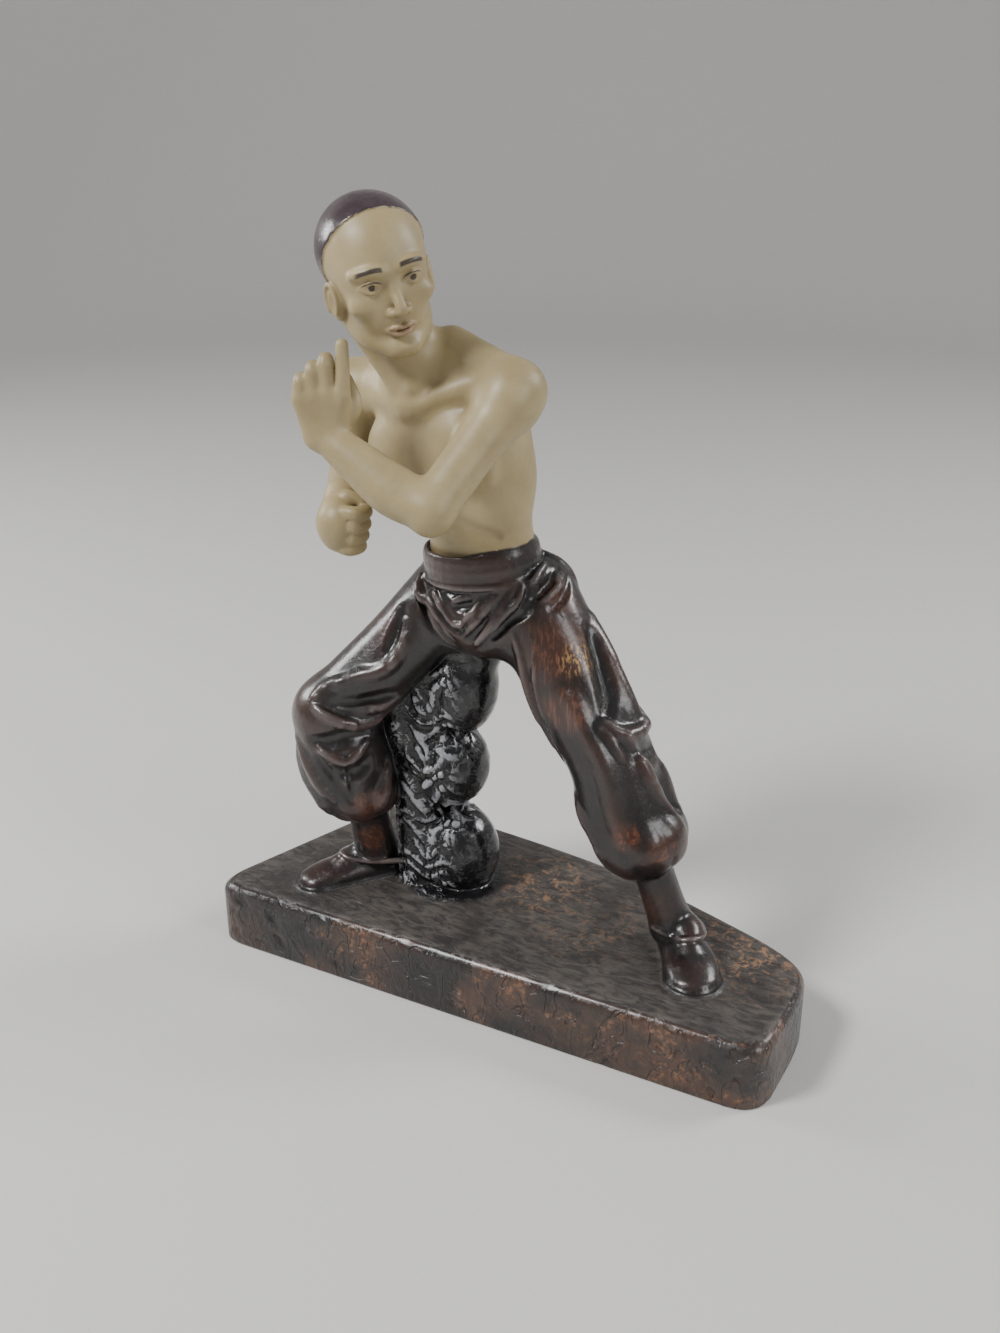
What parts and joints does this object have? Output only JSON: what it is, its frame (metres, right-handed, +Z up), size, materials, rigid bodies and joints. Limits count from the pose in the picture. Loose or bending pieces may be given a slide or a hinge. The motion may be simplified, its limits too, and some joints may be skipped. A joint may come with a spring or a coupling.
{
  "type": "mudman figurine",
  "caption": "Glazed clay figurine of a bare-chested boxer in gathered trousers, guarding with raised hands and braced over a craggy rock on a thick rough slab.",
  "frame": {"origin": "middle of the slab's flat underside", "axes": "+Z up; +X along the slab towards the straight leg, which is the figure's left; -Y is the side the figure's hips face"},
  "size_m": [0.2335, 0.1054, 0.2978],
  "materials": {
    "glazed_clay": "gloss dark brown glaze with worn copper-brown patches on cloth, shoes, rock, hair and slab; bare satin khaki clay on the skin"
  },
  "bodies": {
    "root": {"mudman_figurine": "glazed_clay"}
  },
  "joints": []
}
